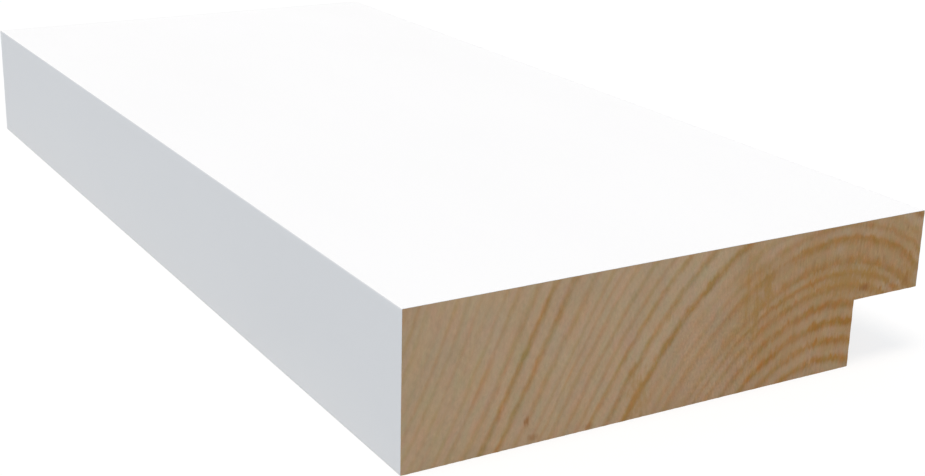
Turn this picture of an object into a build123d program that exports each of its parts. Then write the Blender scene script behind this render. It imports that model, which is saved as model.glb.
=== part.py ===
from build123d import *
import os

# Reveal lining board: one planed length of pine with a rebate along one long edge.
# Millimetres. X runs across the board, Y along it and Z up through its thickness.
# The origin is at the middle of the board's footprint, and the bare back lies on Z = 0.
# The painted room-side edge faces -X, and the rebate runs along the lower +X edge.

# Driving dimensions
board_width = 70.0
board_thickness = 18.0
board_length = 150.0
rebate_width = 10.0  # across the board, from the lip's outer edge in to the shoulder
rebate_depth = 8.4  # through the board, from the back up to the ledge under the lip
face_arris_radius = 0.1  # the two long arrises of the painted face
back_arris_radius = 0.1  # the long arrises of the bare back and of the lip's underside

# Lines of the section, worked out from the driving dimensions
room_edge_x = -board_width / 2
lip_edge_x = board_width / 2
shoulder_x = lip_edge_x - rebate_width
back_z = 0.0
ledge_z = back_z + rebate_depth
face_z = back_z + board_thickness

# Corners of the section, as (across, up)
room_edge_back = (room_edge_x, back_z)
shoulder_back = (shoulder_x, back_z)
rebate_root = (shoulder_x, ledge_z)  # stays square, as the cutter leaves it
lip_underside = (lip_edge_x, ledge_z)
lip_face = (lip_edge_x, face_z)
room_edge_face = (room_edge_x, face_z)


def vertices_at(sketch, corners):
    """The sketch's own vertices that lie at the given corners of the section."""
    return [sketch.vertices().sort_by_distance(corner)[0] for corner in corners]


def board_section():
    """The cross-section in the XZ plane: a rectangle less the rebate, its outer arrises eased."""
    with BuildSketch(Plane.XZ) as section:
        with BuildLine():
            Polyline(
                room_edge_back,
                shoulder_back,
                rebate_root,
                lip_underside,
                lip_face,
                room_edge_face,
                close=True,
            )
        make_face()
        face_arrises = vertices_at(section, [lip_face, room_edge_face])
        fillet(face_arrises, radius=face_arris_radius)
        back_arrises = vertices_at(section, [room_edge_back, shoulder_back, lip_underside])
        fillet(back_arrises, radius=back_arris_radius)
    return section.sketch


def lining_board():
    """The section carried straight along the board, and sawn square at both ends."""
    return extrude(board_section(), amount=board_length / 2, both=True)


os.makedirs("parts", exist_ok=True)
export_step(lining_board(), "parts/lining_board.step")
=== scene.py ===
import math

import bpy
import numpy as np
from mathutils import Matrix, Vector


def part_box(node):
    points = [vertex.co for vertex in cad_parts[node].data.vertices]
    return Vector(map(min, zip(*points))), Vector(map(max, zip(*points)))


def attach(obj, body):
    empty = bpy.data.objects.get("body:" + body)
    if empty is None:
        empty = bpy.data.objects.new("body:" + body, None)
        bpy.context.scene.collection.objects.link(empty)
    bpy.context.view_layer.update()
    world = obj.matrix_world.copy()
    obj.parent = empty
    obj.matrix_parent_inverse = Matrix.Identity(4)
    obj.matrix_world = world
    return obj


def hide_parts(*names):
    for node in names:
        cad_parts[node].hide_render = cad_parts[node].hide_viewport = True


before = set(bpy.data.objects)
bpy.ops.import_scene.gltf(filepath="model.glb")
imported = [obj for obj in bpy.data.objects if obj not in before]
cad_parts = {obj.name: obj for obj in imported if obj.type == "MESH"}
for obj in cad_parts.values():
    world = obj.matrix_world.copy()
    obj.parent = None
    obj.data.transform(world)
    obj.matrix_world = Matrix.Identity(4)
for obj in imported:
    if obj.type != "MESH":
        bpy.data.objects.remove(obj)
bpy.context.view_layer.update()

MM = 0.001
NODE = "lining_board"

# The board's section, in millimetres, in the frame's own axes
board_low, board_high = (np.array(corner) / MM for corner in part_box(NODE))
room_edge_x, near_end_y, back_z = board_low
lip_edge_x, far_end_y, face_z = board_high
rebate_width = 10.0
ledge_z = 8.4
shoulder_x = lip_edge_x - rebate_width
face_arris_radius = 0.1
back_arris_radius = 0.1
half_width = (lip_edge_x - room_edge_x) / 2
half_thickness = (face_z - back_z) / 2
middle_z = (face_z + back_z) / 2
board_length = far_end_y - near_end_y

# The mesh, in millimetres
paint_film = 0.03  # the width of the paint's edge round the sawn ends
end_pitch = 0.2  # between the rows, and the columns, of an end
station_pitch = 5.0  # between the outlines along the sides
sharp_angle = 35  # degrees between two faces from which their edge is sharp

# Where the sides are bare, in millimetres
bare_rise = 0.03  # up from the back or the ledge, round an eased arris
bare_shoulder = 0.25  # in from the shoulder's plane, so that its arris is bare too

# The mesh's materials, by number
PAINT, SAWN, PLANED = range(3)

# The tree's growth rings, in millimetres
pith_x = 17.6  # the pith's place in the near end: across, and below the back
pith_z = -29.2
ring_tilt = math.radians(-10.6)
ring_stretch = 1.57  # how much taller than wide a ring is
face_bow = 0.76  # how much more the rings lean near the two faces
edge_bow = 1.9  # how much the ring lines swing near the two edges
edge_return = 0.7  # how much of it turns back nearer the middle
pith_drift = 1.6  # sideways drift of the pith from the near end to the far end
pith_sway = 0.35  # how much the pith swings on that way
sway_pace = 2.2 * math.pi  # how fast it swings, over the board's length
around_radius = 40.0  # the ring on which distance around the pith is measured
heartwood_radius = 32.6  # the rings inside it are heartwood

# The saw's marks on the two ends, in millimetres
blade_radius = 150.0
blade_slant = 0.02  # how far a score leans for each millimetre up
tooth_pitch = 0.9
torn_depth = 0.028  # of the softest earlywood
score_depth = 0.012
ragged_depth = 0.016
wave_depth = 0.03

# Each ring's radius, with how dark its latewood is
GROWTH_RINGS = [
    (17.6, 0.50), (18.9, 0.50), (20.1, 0.80), (21.4, 0.80), (22.7, 1.00), (24.1, 0.76),
    (25.5, 0.58), (26.5, 0.62), (27.4, 0.55), (29.5, 0.64), (30.7, 0.40), (31.9, 0.22),
    (33.6, 1.00), (35.7, 0.66), (37.6, 0.64), (38.9, 0.35), (40.3, 0.42), (41.9, 0.32),
    (43.0, 0.30), (43.9, 0.28), (45.5, 0.40), (47.5, 0.68), (49.4, 0.80), (51.1, 0.36),
    (52.9, 0.38), (54.1, 0.26), (55.4, 0.12), (56.4, 0.20), (57.6, 0.24), (58.7, 0.28),
    (59.7, 0.16), (61.2, 0.22), (62.0, 0.26), (63.1, 0.12), (64.4, 0.18), (66.0, 0.22),
]

# Marks on the sawn ends: place across and up, reach each way in millimetres, and strength
BROWN_SPECKS = [
    ((-20.1, 2.7), (0.5, 0.9), 0.8), ((-19.2, 0.7), (1.1, 0.6), 0.5), ((-12.0, 0.4), (1.0, 0.5), 0.5),
    ((16.4, 7.5), (0.6, 0.7), 0.5), ((26.5, 9.8), (1.1, 0.9), 0.9), ((33.2, 9.6), (0.8, 1.2), 0.6),
    ((34.2, 17.5), (1.0, 0.7), 0.5),
]
RESIN_STREAKS = [
    ((8.7, 12.0), (0.45, 6.0), 0.5), ((10.2, 9.5), (0.8, 6.0), 0.6), ((11.7, 12.0), (1.2, 3.6), 0.75),
    ((14.2, 10.4), (0.4, 2.6), 0.45), ((6.2, 6.0), (1.2, 3.0), 0.25), ((25.1, 13.2), (0.35, 2.6), 0.45),
    ((23.2, 11.3), (7.5, 2.6), 0.68), ((33.2, 9.8), (2.4, 2.4), 0.7), ((-5.8, 2.6), (2.0, 5.0), 0.5),
    ((27.0, 10.8), (1.9, 1.7), 0.6),
]
PALE_PATCHES = [((13.7, 14.3), (2.6, 1.7), 0.75), ((16.0, 4.6), (4.5, 5.5), 0.38)]

# The camera, in millimetres and degrees, and the picture's size in pixels
picture_width, picture_height = 925, 476
sensor_width = 36.0
focal_pixels = 1553.2
camera_eye = (-101.69, -198.07, 73.29)
camera_azimuth = -29.66
camera_elevation = 18.08
camera_roll = 1.01
view_centre_px = (434.3, 215.3)  # where the camera's own axis meets the picture


def make_camera():
    """The camera at the photograph's place, with a small lens shift and a small roll."""
    data = bpy.data.cameras.new("camera")
    data.sensor_width = sensor_width
    data.lens = focal_pixels * sensor_width / picture_width
    data.shift_x = (picture_width / 2 - view_centre_px[0]) / picture_width
    data.shift_y = (view_centre_px[1] - picture_height / 2) / picture_width
    data.clip_start, data.clip_end = 0.005, 20.0
    camera = bpy.data.objects.new("camera", data)
    turn = Matrix.Rotation(math.radians(camera_azimuth), 4, "Z")
    tip = Matrix.Rotation(math.radians(90 - camera_elevation), 4, "X")
    roll = Matrix.Rotation(math.radians(camera_roll), 4, "Z")
    camera.matrix_world = Matrix.Translation(np.array(camera_eye) * MM) @ turn @ tip @ roll
    bpy.context.scene.collection.objects.link(camera)
    bpy.context.scene.camera = camera


# Shape of the board

def rows_between(low, high, edge_steps, pitch):
    """Even rows from low to high, with the first and last stretches split at the given steps.

    edge_steps are the distances in from each end where a row has to lie.
    """
    first = [low + step for step in edge_steps[0]]
    last = [high - step for step in reversed(edge_steps[1])]
    count = max(1, round((last[0] - first[-1]) / pitch))
    return np.concatenate([first[:-1], np.linspace(first[-1], last[0], count + 1), last[1:]])


def section_rows():
    """The section's columns across the board and rows up it, and where the rebate's lines fall.

    A painted side has a row at the paint film's thickness, and each eased arris one at its radius.
    """
    painted = [0.0, paint_film, face_arris_radius]
    bare = [0.0, back_arris_radius / 2, back_arris_radius]
    body_x = rows_between(room_edge_x, shoulder_x, (painted, bare), end_pitch)
    lip_x = rows_between(shoulder_x, lip_edge_x, ([0.0], painted), end_pitch)
    low_z = rows_between(back_z, ledge_z, (bare, [0.0]), end_pitch)
    high_z = rows_between(ledge_z, face_z, (bare, painted), end_pitch)
    columns = np.concatenate([body_x, lip_x[1:]])
    rows = np.concatenate([low_z, high_z[1:]])
    return columns, rows, len(body_x) - 1, len(low_z) - 1


def ease_corner(x, z, corner, inward, radius):
    """Draws one corner square of the section in to a quarter disc.

    From the arc's centre a point at (a, b) radii keeps its direction, and its distance becomes the
    larger of a and b, so the square's two outer sides land on the arc.
    """
    tiny, slack = 1e-6, 1e-3
    centre_x = corner[0] + inward[0] * radius
    centre_z = corner[1] + inward[1] * radius
    a = (centre_x - x) * inward[0] / radius
    b = (centre_z - z) * inward[1] / radius
    inside = (a > tiny) & (b > tiny) & (a < 1 + slack) & (b < 1 + slack)
    shrink = np.where(inside, np.maximum(a, b) / np.maximum(np.hypot(a, b), tiny), 1.0)
    eased_x = centre_x - inward[0] * a * shrink * radius
    eased_z = centre_z - inward[1] * b * shrink * radius
    return np.where(inside, eased_x, x), np.where(inside, eased_z, z)


def eased_section(columns, rows):
    """The grid of columns and rows with the five outer corners of the section eased."""
    x, z = np.meshgrid(columns, rows, indexing="ij")
    corners = [
        ((room_edge_x, face_z), (1, -1), face_arris_radius),
        ((lip_edge_x, face_z), (-1, -1), face_arris_radius),
        ((room_edge_x, back_z), (1, 1), back_arris_radius),
        ((shoulder_x, back_z), (-1, 1), back_arris_radius),
        ((lip_edge_x, ledge_z), (-1, 1), back_arris_radius),
    ]
    for corner, inward, radius in corners:
        x, z = ease_corner(x, z, corner, inward, radius)
    return x, z


def from_pith(x, y, z):
    """Millimetres outward from the pith, and around it, of points in the timber.

    Rings are ellipses about the pith, taller than wide and tilted. The pith drifts sideways along
    the board, by the distance along it plus a sine of that distance which grows with it. With u from
    -1 to 1 across the board and w from -1 to 1 up it, u times w squared bows the rings near the
    faces, and u to the fifth less a share of its cube swings them near the edges.
    """
    along = (y - near_end_y) / board_length
    drift = pith_drift * (along + pith_sway * np.sin(sway_pace * along) * along)
    across, up = x - pith_x - drift, z - pith_z
    major = math.cos(ring_tilt) * across + math.sin(ring_tilt) * up
    minor = (math.cos(ring_tilt) * up - math.sin(ring_tilt) * across) / ring_stretch
    u = (x - (room_edge_x + lip_edge_x) / 2) / half_width
    w = (z - middle_z) / half_thickness
    bows = face_bow * u * w**2
    swings = edge_bow * (u**5 - edge_return * u**3)
    outward = np.hypot(major, minor) + bows + swings
    return outward, np.arctan2(major, minor) * around_radius


def ring_number(outward):
    """Rings counted from the innermost one: whole on a ring's latewood line, and even between."""
    radii = np.array([radius for radius, _ in GROWTH_RINGS])
    return np.interp(outward, radii, np.arange(len(radii)))


def soft_step(share):
    """A share from 0 to 1, eased at both ends: three times its square less twice its cube."""
    return share * share * (3 - 2 * share)


def ring_darkness(outward, around):
    """The latewood's darkness: each ring's own, and less on one side of the tree.

    With s rising smoothly from 0 at 50 degrees left of upright to 1 at 12 degrees left, heartwood
    rings have 0.5 + 0.5 s of their darkness, and sapwood rings 1 - 0.25 s of it.
    """
    left_limit, span = 50, 38
    heart_least, sap_loss = 0.5, 0.25
    radii, own = (np.array(values) for values in zip(*GROWTH_RINGS))
    share = soft_step(np.clip((np.degrees(around / around_radius) + left_limit) / span, 0, 1))
    in_heart = heart_least + (1 - heart_least) * share
    side = np.where(outward < heartwood_radius, in_heart, 1 - sap_loss * share)
    return np.interp(outward, radii, own) * side


def ring_climb(x, y, z):
    """How many rings are crossed for each millimetre upwards."""
    step = 0.05
    above, below = (ring_number(from_pith(x, y, z + change)[0]) for change in (step, -step))
    return (above - below) / (2 * step)


def waves(x, z, seed, sizes):
    """Smooth uneven values of about -1 to 1: a sum of sine waves that run every way.

    sizes are wavelengths in millimetres, and each has eight waves with random directions and starts.
    """
    waves_each = 8
    usual_height = 3.0  # of eight such waves together
    draw = np.random.default_rng(seed)
    total = np.zeros_like(x)
    for size in sizes:
        for _ in range(waves_each):
            angle, start = draw.uniform(0, 2 * np.pi, 2)
            total += np.sin((x * np.cos(angle) + z * np.sin(angle)) * 2 * np.pi / size + start)
    return total / (usual_height * math.sqrt(len(sizes)))


def latewood_share(ring):
    """1 on a ring's latewood line, falling smoothly to 0 at 0.35 of a ring to either side."""
    reach = 0.35
    return soft_step(1 - np.clip(np.abs((ring + 0.5) % 1.0 - 0.5) / reach, 0, 1))


def sawn_depth(x, z, ring, darkness, seed):
    """How far the sawn surface lies below the end's own plane, in millimetres.

    The sum of four depths, each times a share from 0 to 1. Soft earlywood is torn lower than hard
    latewood. The saw's teeth leave scores, a sine across the arcs of a large blade. Short waves make
    the cut ragged, and long ones make it wavy.
    """
    palest_hardness = 0.4
    soft = 1 - latewood_share(ring) * (palest_hardness + (1 - palest_hardness) * darkness)
    across_cut = x - (z - middle_z) ** 2 / (2 * blade_radius) + blade_slant * z
    unsteady = 2.0 * waves(x, 0 * z, seed + 1, [7.0, 17.0])
    scores = 0.5 + 0.5 * np.sin(2 * np.pi / tooth_pitch * across_cut + unsteady)
    ragged = 0.5 + 0.5 * waves(x, z, seed + 2, [0.9, 1.7])
    wave = 0.5 + 0.5 * waves(x, z, seed + 3, [23.0, 41.0])
    cut = torn_depth * soft + score_depth * scores
    return cut + ragged_depth * np.clip(ragged, 0, 1) + wave_depth * np.clip(wave, 0, 1)


def outline_order(shape, shoulder, ledge):
    """Column and row numbers of the section's outline, once round, starting along the back."""
    last_column, last_row = shape[0] - 1, shape[1] - 1
    column = np.concatenate([
        np.arange(0, shoulder), np.full(ledge, shoulder), np.arange(shoulder, last_column),
        np.full(last_row - ledge, last_column), np.arange(last_column, 0, -1), np.zeros(last_row, int),
    ])
    row = np.concatenate([
        np.zeros(shoulder, int), np.arange(0, ledge), np.full(last_column - shoulder, ledge),
        np.arange(ledge, last_row), np.full(last_column, last_row), np.arange(last_row, 0, -1),
    ])
    return column, row


def make_board():
    """The whole board as one closed mesh.

    Each end is the section's grid of columns and rows, less the rebate's corner, at the end's plane
    less the sawn depth. Between them the section's outline is carried along the board.
    """
    columns, rows, shoulder, ledge = section_rows()
    x, z = eased_section(columns, rows)
    i, j = np.meshgrid(np.arange(len(columns)), np.arange(len(rows)), indexing="ij")
    in_timber = (i <= shoulder) | (j >= ledge)
    number = np.where(in_timber, np.cumsum(in_timber.ravel()).reshape(in_timber.shape) - 1, -1)
    end_x, end_z = x[in_timber], z[in_timber]
    end_count = len(end_x)

    ends = []
    for plane, inward, seed in ((near_end_y, 1, 11), (far_end_y, -1, 31)):
        outward, around = from_pith(end_x, np.full(end_count, plane), end_z)
        depth = sawn_depth(end_x, end_z, ring_number(outward), ring_darkness(outward, around), seed)
        ends.append(np.column_stack([end_x, plane + inward * depth, end_z]))

    column, row = outline_order(x.shape, shoulder, ledge)
    ring_of_ends = number[column, row]
    outline_x, outline_z = x[column, row], z[column, row]
    outline_count = len(column)
    stations = np.linspace(near_end_y, far_end_y, round(board_length / station_pitch) + 1)[1:-1]
    sides = np.stack(np.broadcast_arrays(
        outline_x[None, :], stations[:, None], outline_z[None, :]), axis=-1).reshape(-1, 3)
    points = np.concatenate([ends[0], ends[1], sides])

    # Faces of the ends: near ones face -Y, far ones +Y
    cell = in_timber[:-1, :-1] & in_timber[1:, 1:] & in_timber[1:, :-1] & in_timber[:-1, 1:]
    ci, cj = np.nonzero(cell)
    near_faces = np.column_stack([
        number[ci, cj], number[ci + 1, cj], number[ci + 1, cj + 1], number[ci, cj + 1],
    ])
    far_faces = near_faces[:, ::-1] + end_count
    last_x, last_z = len(columns) - 2, len(rows) - 2
    film = (ci == 0) | (cj == last_z) | (ci == last_x)
    end_material = np.where(film, PAINT, SAWN)

    # Faces of the sides: loops of vertex numbers, one for each station
    first_side = 2 * end_count
    loops = np.concatenate([
        ring_of_ends[None, :],
        first_side + np.arange(len(stations) * outline_count).reshape(len(stations), outline_count),
        ring_of_ends[None, :] + end_count,
    ])
    after = np.roll(loops, -1, axis=1)
    side_faces = np.stack([loops[:-1], loops[1:], after[1:], after[:-1]], axis=-1).reshape(-1, 4)
    middle_x = (outline_x + np.roll(outline_x, -1)) / 2
    middle_of_z = (outline_z + np.roll(outline_z, -1)) / 2
    on_back = middle_of_z < back_z + bare_rise
    in_rebate = (middle_x > shoulder_x - bare_shoulder) & (middle_of_z < ledge_z + bare_rise)
    side_material = np.tile(np.where(on_back | in_rebate, PLANED, PAINT), len(loops) - 1)

    faces = np.concatenate([near_faces, far_faces, side_faces])
    material = np.concatenate([end_material, end_material, side_material])
    mesh = mesh_from(points * MM, faces)
    mesh.polygons.foreach_set("material_index", material.astype(np.int32))
    mesh.polygons.foreach_set("use_smooth", np.ones(len(faces), bool))
    mesh.set_sharp_from_angle(angle=math.radians(sharp_angle))

    outward, around = from_pith(*points.T)
    growth = np.column_stack([outward, around, points[:, 1]]).astype(np.float32)
    mesh.attributes.new("growth", "FLOAT_VECTOR", "POINT").data.foreach_set("vector", growth.ravel())
    for name, values in (
        ("ring", ring_number(outward)),
        ("darkness", ring_darkness(outward, around)),
        ("climb", ring_climb(*points.T)),
    ):
        mesh.attributes.new(name, "FLOAT", "POINT").data.foreach_set("value", values.astype(np.float32))

    board = bpy.data.objects.new("painted_pine_board", mesh)
    bpy.context.scene.collection.objects.link(board)
    for make in (white_paint, sawn_pine, planed_pine):
        mesh.materials.append(make())
    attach(board, "root")
    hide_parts(NODE)


def mesh_from(points, faces):
    """A mesh from an array of points in metres and one of four-cornered faces."""
    mesh = bpy.data.meshes.new("painted_pine_board")
    mesh.vertices.add(len(points))
    mesh.vertices.foreach_set("co", points.astype(np.float32).ravel())
    mesh.loops.add(faces.size)
    mesh.loops.foreach_set("vertex_index", faces.astype(np.int32).ravel())
    mesh.polygons.add(len(faces))
    mesh.polygons.foreach_set("loop_start", np.arange(0, faces.size, 4, dtype=np.int32))
    mesh.update(calc_edges=True)
    mesh.validate()
    return mesh


# Materials

class Tree:
    """A node tree with short ways to add a node and to join it to others."""

    def __init__(self, tree):
        self.tree = tree

    def add(self, kind, settings=None, **inputs):
        """A new node of a kind, with its settings, and inputs given as values or as other sockets.

        An input is given by its name, with _ for a space, or by its number after a _.
        """
        node = self.tree.nodes.new(kind)
        for name, value in (settings or {}).items():
            setattr(node, name, value)
        for name, value in inputs.items():
            key = int(name[1:]) if name[1:].isdigit() else name.replace("_", " ")
            self.feed(node.inputs[key], value)
        return node

    def feed(self, socket, value):
        """Links a socket to another or to a node's first output, or sets its plain value."""
        if isinstance(value, bpy.types.NodeSocket):
            self.tree.links.new(value, socket)
        elif isinstance(value, bpy.types.Node):
            self.tree.links.new(value.outputs[0], socket)
        else:
            socket.default_value = value

    def maths(self, operation, a, b=0.0, c=0.0, clamp=False):
        """A sum, a product or the like of up to three values."""
        return self.add("ShaderNodeMath", {"operation": operation, "use_clamp": clamp}, _0=a, _1=b, _2=c)

    def vector(self, operation, a, b=(0, 0, 0)):
        """The same for vectors."""
        return self.add("ShaderNodeVectorMath", {"operation": operation}, _0=a, _1=b)

    def spread(self, value, low, high, to_low=0.0, to_high=1.0, smooth=True):
        """Maps low..high of a value to to_low..to_high, with soft ends if it is smooth."""
        kind = "SMOOTHSTEP" if smooth else "LINEAR"
        return self.add("ShaderNodeMapRange", {"interpolation_type": kind},
                        Value=value, From_Min=low, From_Max=high, To_Min=to_low, To_Max=to_high)

    def sway(self, value, low, high, reach):
        """Maps low..high of a value evenly to minus reach..reach."""
        return self.spread(value, low, high, -reach, reach, smooth=False)

    def noise(self, place, scales, detail=2.0, roughness=0.5):
        """Noise over a place, with a scale for each axis."""
        scaled = self.vector("MULTIPLY", place, scales)
        return self.add("ShaderNodeTexNoise", Vector=scaled, Scale=1.0, Detail=detail, Roughness=roughness)

    def mix(self, share, a, b, blend="MIX"):
        """Two colours mixed. The node has its colour sockets after those for numbers and vectors."""
        node = self.add("ShaderNodeMix", {"data_type": "RGBA", "blend_type": blend})
        for number, value in ((0, share), (6, a), (7, b)):
            self.feed(node.inputs[number], value)
        return node.outputs[2]

    def grey(self, value):
        """A colour with the same value in all three channels."""
        return self.add("ShaderNodeCombineColor", Red=value, Green=value, Blue=value)


def rgb(red, green, blue):
    """A colour given as it shows on a screen, 0 to 255, as linear values with an alpha of 1."""
    shown = np.array([red, green, blue]) / 255
    linear = np.where(shown <= 0.04045, shown / 12.92, ((shown + 0.055) / 1.055) ** 2.4)
    return (*linear.tolist(), 1.0)


def new_group(name, inputs, outputs):
    """An empty shader node group with named sockets, as a Tree with its own ends."""
    group = bpy.data.node_groups.new(name, "ShaderNodeTree")
    for socket, kind in inputs.items():
        group.interface.new_socket(socket, in_out="INPUT", socket_type="NodeSocket" + kind)
    for socket, kind in outputs.items():
        group.interface.new_socket(socket, in_out="OUTPUT", socket_type="NodeSocket" + kind)
    tree = Tree(group)
    return tree, group.nodes.new("NodeGroupInput").outputs, group.nodes.new("NodeGroupOutput").inputs


def pine_group():
    """Pine as solid timber: colour and height from where a point lies in the tree.

    Reads millimetres outward, around and along, the ring number and the ring's darkness. A ring's
    latewood is a line with soft sides, wider in the heartwood. Rays run outward, fibres run along.
    """
    if "pine" in bpy.data.node_groups:
        return bpy.data.node_groups["pine"]
    t, given, out = new_group(
        "pine",
        {"Growth": "Vector", "Ring": "Float", "Darkness": "Float", "Sapwood": "Color",
         "Heartwood": "Color", "Sap Latewood": "Color", "Heart Latewood": "Color"},
        {"Color": "Color", "Height": "Float", "Latewood": "Float"})
    growth = given["Growth"]
    outward = t.add("ShaderNodeSeparateXYZ", Vector=growth).outputs["X"]
    heart = t.spread(outward, heartwood_radius - 3, heartwood_radius + 3, 1.0, 0.0)

    # The ring line wanders a little, and each side of it has a soft flank
    wander = t.sway(t.noise(growth, (0.35, 0.3, 0.03)), 0.0, 1.0, 0.14)
    fine_wander = t.sway(t.noise(growth, (0.8, 1.1, 0.05)), 0.0, 1.0, 0.13)
    ring = t.maths("ADD", t.maths("ADD", given["Ring"], wander), fine_wander)
    part = t.maths("FRACT", ring)
    reach = t.spread(heart, 0.0, 1.0, 0.36, 0.46, smooth=False)
    rise = t.spread(part, t.maths("SUBTRACT", 1.0, reach), 0.98)
    fall = t.spread(part, 0.02, t.maths("MULTIPLY", reach, 0.85), 1.0, 0.0)
    late = t.maths("MAXIMUM", rise, fall)

    # Latewood is darker in some stretches of a ring than in others
    patchy = t.noise(growth, (0.7, 0.5, 0.03), 4.0, 0.75)
    patchy = t.spread(patchy, 0.3, 0.7, 0.58, 1.55, smooth=False)
    late = t.maths("MULTIPLY", t.maths("MULTIPLY", late, given["Darkness"]), patchy, clamp=True)

    # Rays, fibres and slow changes of tone
    rays = t.noise(growth, (0.5, 3.2, 0.4))
    fibres = t.noise(growth, (3.6, 3.6, 0.12), 3.0, 0.6)
    blotch = t.noise(growth, (0.3, 0.16, 0.015), 4.0, 0.6)
    tone = t.maths("ADD", t.sway(rays, 0.32, 0.68, 0.025), t.sway(fibres, 0.3, 0.7, 0.05))
    tone = t.maths("ADD", tone, t.sway(blotch, 0.3, 0.7, 0.05))

    early = t.mix(heart, given["Sapwood"], given["Heartwood"])
    dark = t.mix(heart, given["Sap Latewood"], given["Heart Latewood"])
    colour = t.mix(late, early, dark)

    # The timber is yellower in places and pinker in others, and its latewood most of all
    warm = t.sway(t.noise(growth, (0.55, 0.4, 0.04), 3.0, 0.6), 0.25, 0.75, 0.032)
    warm = t.maths("MULTIPLY", warm, t.spread(late, 0.0, 1.0, 1.0, 3.0, smooth=False))
    pink = t.sway(t.noise(growth, (1.2, 0.6, 0.05), 3.0, 0.65), 0.3, 0.7, 0.06)
    pink = t.maths("MULTIPLY", pink, t.spread(late, 0.0, 1.0, 0.9, 1.8, smooth=False))
    light = t.maths("ADD", tone, 1.0)
    tint = t.add(
        "ShaderNodeCombineColor",
        Red=t.maths("ADD", light, t.maths("ADD", warm, pink)),
        Green=t.maths("MULTIPLY_ADD", pink, -0.5, light),
        Blue=t.maths("MULTIPLY_ADD", warm, -2.0, light))
    t.feed(out["Color"], t.mix(1.0, colour, tint, "MULTIPLY"))
    t.feed(out["Latewood"], late)
    t.feed(out["Height"], t.maths("ADD", t.maths("MULTIPLY", late, 0.6), t.maths("MULTIPLY", fibres, 0.4)))
    return t.tree


def material_tree(name):
    """A new material with a Principled BSDF, as (material, tree, shader)."""
    material = bpy.data.materials.new(name)
    material.use_nodes = True
    tree = Tree(material.node_tree)
    return material, tree, material.node_tree.nodes["Principled BSDF"]


def attribute(t, name, output="Fac"):
    """One of the attributes that the board's mesh carries."""
    node = t.add("ShaderNodeAttribute", {"attribute_type": "GEOMETRY", "attribute_name": name})
    return node.outputs[output]


def place_pine(t, ring, **tones):
    """The pine group in a material, fed from the board's own attributes, with its four tones."""
    pine = t.tree.nodes.new("ShaderNodeGroup")
    pine.node_tree = pine_group()
    t.feed(pine.inputs["Growth"], attribute(t, "growth", "Vector"))
    t.feed(pine.inputs["Ring"], ring)
    t.feed(pine.inputs["Darkness"], attribute(t, "darkness"))
    for name, tone in tones.items():
        t.feed(pine.inputs[name.replace("_", " ")], tone)
    return pine.outputs


def millimetres(t):
    """Object coordinates in millimetres."""
    place = t.add("ShaderNodeTexCoord").outputs["Object"]
    return t.vector("MULTIPLY", place, (1000, 1000, 1000)).outputs[0]


def give_surface(t, shader, colour, roughness, specular, height, strength, depth):
    """Gives a shader its colour, roughness and specular level, and bumps up to a depth in millimetres."""
    t.feed(shader.inputs["Base Color"], colour)
    t.feed(shader.inputs["Roughness"], roughness)
    t.feed(shader.inputs["Specular IOR Level"], specular)
    bump = t.add("ShaderNodeBump", Strength=strength, Distance=depth * MM, Height=height)
    t.feed(shader.inputs["Normal"], bump)


def smear(t, place, waver, middle, reach, strength):
    """How much of a soft mark shows: its strength in the middle, and 0 from its reach outwards.

    middle and reach are across the board and up it, and waver breaks the mark up.
    """
    scale = (1 / reach[0], 0.0, 1 / reach[1])
    offset = t.vector("SUBTRACT", place, (middle[0], 0.0, middle[1]))
    distance = t.vector("LENGTH", t.vector("MULTIPLY", offset, scale)).outputs["Value"]
    return t.spread(t.maths("ADD", distance, waver), 0.0, 1.0, strength, 0.0)


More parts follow.
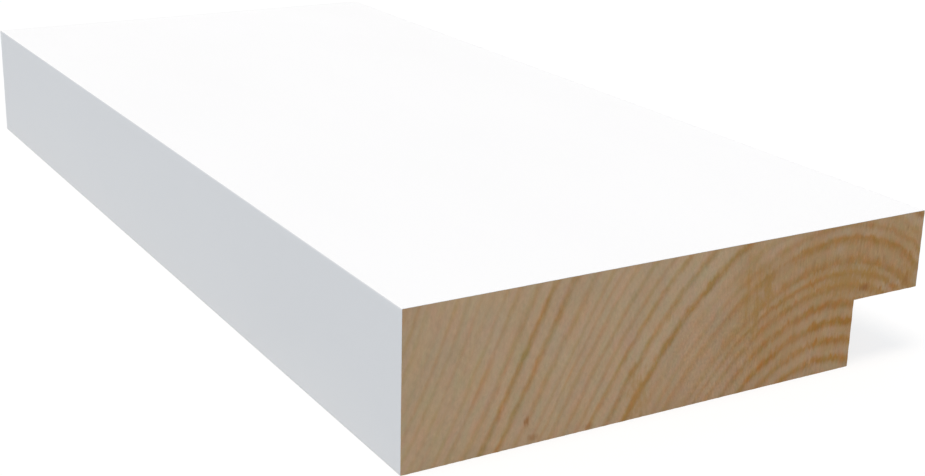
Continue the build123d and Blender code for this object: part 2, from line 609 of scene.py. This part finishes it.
def sawn_pine():
    """End grain as the saw left it: matt, greyer than planed pine, and fuzzy upright where it tore."""
    material, t, shader = material_tree("sawn_pine_end")
    place = millimetres(t)
    sides = t.add("ShaderNodeSeparateXYZ", Vector=place).outputs
    across, up = sides["X"], sides["Z"]

    # The fibres tore more on the right than on the left, and unevenly
    torn = t.maths("ADD", t.spread(across, 2.0, 14.0, 0.4, 1.0), t.spread(across, 22.0, 28.0, 0.0, 0.25))
    uneven = t.spread(t.noise(place, (0.45, 0.0, 0.4)), 0.35, 0.65, 0.35, 1.7)

    # Torn fibres drag the ring lines up and down in fine upright ticks
    drag = t.sway(t.noise(place, (2.1, 0.0, 0.4), 3.0, 0.65), 0.25, 0.75, 0.32)
    drag = t.maths("MULTIPLY", drag, t.maths("MULTIPLY", torn, uneven))
    ring = t.maths("MULTIPLY_ADD", attribute(t, "climb"), drag, attribute(t, "ring"))
    pine = place_pine(
        t, ring, Sapwood=rgb(196, 165, 129), Heartwood=rgb(191, 157, 121),
        Sap_Latewood=rgb(176, 134, 78), Heart_Latewood=rgb(174, 124, 54))

    # Upright ticks of light and shade, and a darker strip by the painted edge
    ticks = t.sway(t.noise(place, (2.4, 0.0, 0.45), 4.0, 0.75), 0.3, 0.7, 0.095)
    ticks = t.maths("MULTIPLY", ticks, uneven)
    strip = t.spread(across, room_edge_x, room_edge_x + 5, 0.955, 1.0)
    light = t.maths("MULTIPLY_ADD", ticks, torn, strip)

    # Between the straight rings and the heart, and low down, the fibres have come away in small pits,
    # whose shade and light are painted into the colour as fine specks
    pit_shade_and_light = t.sway(t.noise(place, (3.4, 0.0, 2.2)), 0.3, 0.7, 0.09)
    pitted = t.maths("MULTIPLY", t.spread(across, -5.0, 2.0), t.spread(across, 8.0, 14.0, 1.0, 0.25))
    pitted = t.maths("MULTIPLY", pitted, t.spread(up, 8.0, 13.0, 1.0, 0.35))
    light = t.maths("MULTIPLY_ADD", pit_shade_and_light, pitted, light)
    colour = t.mix(1.0, pine["Color"], t.grey(light), "MULTIPLY")

    # Resin has soaked the torn timber, most towards the lip and least near the back and the face
    soaked = t.maths("ADD", t.spread(across, 5.0, 9.0, 0.0, 0.85), t.spread(across, 22.0, 28.0, 0.0, 0.2))
    soaked = t.maths("MULTIPLY", soaked, t.spread(up, 0.5, 5.0, 0.15, 1.0))
    soaked = t.maths("MULTIPLY", soaked, t.spread(up, 14.5, 17.5, 1.0, 0.6))
    cloud = t.spread(t.noise(place, (0.3, 0.0, 0.38)), 0.3, 0.7, -0.1, 2.1, smooth=False)
    soaked = t.maths("MULTIPLY", soaked, cloud)
    colour = t.mix(soaked, colour, t.mix(1.0, colour, rgb(250, 242, 222), "MULTIPLY"))

    # Marks of three kinds, which fine upright noise breaks up
    waver = t.sway(t.noise(place, (2.4, 0.0, 0.8), 3.0, 0.6), 0.2, 0.8, 0.7)
    for marks, tone in (
        (PALE_PATCHES, rgb(189, 153, 114)),
        (RESIN_STREAKS, rgb(176, 132, 66)),
        (BROWN_SPECKS, rgb(160, 108, 58)),
    ):
        for middle, reach, strength in marks:
            colour = t.mix(smear(t, place, waver, middle, reach, strength), colour, tone)

    roughness = t.spread(pine["Latewood"], 0, 1, 0.82, 0.68, smooth=False)
    height = t.maths("ADD", pine["Height"], t.maths("MULTIPLY", ticks, 3.0))
    give_surface(t, shader, colour, roughness, 0.3, height, strength=0.3, depth=0.05)
    return material


def planed_pine():
    """Bare planed pine of the back and the rebate, lighter and smoother than the sawn ends.

    The planer's knives leave even waves along the board.
    """
    material, t, shader = material_tree("planed_pine")
    pine = place_pine(
        t, attribute(t, "ring"), Sapwood=rgb(228, 200, 162), Heartwood=rgb(222, 186, 144),
        Sap_Latewood=rgb(206, 158, 104), Heart_Latewood=rgb(196, 142, 88))
    knives = t.add(
        "ShaderNodeTexWave", {"bands_direction": "Y"}, Vector=millimetres(t), Scale=0.105, Distortion=0.3)
    roughness = t.spread(pine["Latewood"], 0, 1, 0.68, 0.52, smooth=False)
    height = t.maths("ADD", pine["Height"], t.maths("MULTIPLY", knives, 0.5))
    give_surface(t, shader, pine["Color"], roughness, 0.35, height, strength=0.3, depth=0.03)
    return material


def white_paint():
    """White factory paint with a low sheen: a fine sprayed texture, and the grain just showing through."""
    material, t, shader = material_tree("white_satin_paint")
    place = millimetres(t)
    cloud = t.noise(place, (0.05, 0.02, 0.05))
    colour = t.mix(cloud, rgb(243, 243, 242), rgb(246, 246, 245))
    fine = t.noise(place, (2.2, 2.2, 2.2))
    roughness = t.spread(fine, 0.3, 0.7, 0.56, 0.62, smooth=False)
    pine = place_pine(t, attribute(t, "ring"))
    height = t.maths("ADD", t.maths("MULTIPLY", fine, 0.5), t.maths("MULTIPLY", pine["Height"], 0.5))
    give_surface(t, shader, colour, roughness, 0.12, height, strength=0.12, depth=0.03)
    return material


# Floor and light

def has_to_be_white(t):
    """1 for rays from the camera, a mirror or glass, which have to meet plain white, and else 0."""
    path = t.add("ShaderNodeLightPath").outputs
    mirror_or_glass = t.maths("MAXIMUM", path["Is Glossy Ray"], path["Is Transmission Ray"])
    return t.maths("MAXIMUM", path["Is Camera Ray"], mirror_or_glass)


def make_floor():
    """A plain white floor that keeps the board's shadow, and looks white to the camera.

    It shows a dim diffuse share, which takes the shadow, and a glow that makes up the rest. All
    other rays meet a plain light grey, which lights the board from below.
    """
    reach = 6.0
    dim_share, glow_share = 0.22, 0.79
    mesh = bpy.data.meshes.new("floor")
    corners = np.array([(-1, -1), (1, -1), (1, 1), (-1, 1)]) * reach
    mesh.from_pydata([(px, py, 0.0) for px, py in corners], [], [(0, 1, 2, 3)])
    floor = bpy.data.objects.new("floor", mesh)
    bpy.context.scene.collection.objects.link(floor)
    material = bpy.data.materials.new("floor_white")
    material.use_nodes = True
    t = Tree(material.node_tree)
    t.tree.nodes.clear()
    white_wanted = has_to_be_white(t)
    plain = t.add("ShaderNodeBsdfDiffuse", Color=(0.625, 0.63, 0.63, 1))
    dim = t.add("ShaderNodeBsdfDiffuse", Color=(dim_share, dim_share, dim_share, 1))
    glow = t.add("ShaderNodeEmission", Color=(1, 1, 1, 1), Strength=glow_share)
    shown = t.add("ShaderNodeAddShader", _0=dim, _1=glow)
    both = t.add("ShaderNodeMixShader", _0=white_wanted, _1=plain, _2=shown)
    t.add("ShaderNodeOutputMaterial", Surface=both)
    mesh.materials.append(material)


def light_the_room():
    """A cool even dome, and one broad, slightly warm lamp high up, a little to the front and left."""
    world = bpy.data.worlds.new("studio")
    bpy.context.scene.world = world
    world.use_nodes = True
    t = Tree(world.node_tree)
    t.tree.nodes.clear()
    white_wanted = has_to_be_white(t)
    dome = t.add("ShaderNodeBackground", Color=(0.42, 0.50, 0.605, 1), Strength=1.0)
    white = t.add("ShaderNodeBackground", Color=(1, 1, 1, 1), Strength=1.0)
    both = t.add("ShaderNodeMixShader", _0=white_wanted, _1=dome, _2=white)
    t.add("ShaderNodeOutputWorld", Surface=both)

    lamp = bpy.data.lights.new("broad_lamp", "SUN")
    lamp.energy = 2.10
    lamp.color = (1.0, 0.875, 0.74)
    lamp.angle = math.radians(24)
    holder = bpy.data.objects.new("broad_lamp", lamp)
    from_front, from_left = math.radians(5), math.radians(10.5)
    holder.rotation_euler = (from_front, -from_left, 0)
    bpy.context.scene.collection.objects.link(holder)


bpy.context.scene.view_settings.view_transform = "Standard"
make_camera()
make_floor()
light_the_room()
make_board()
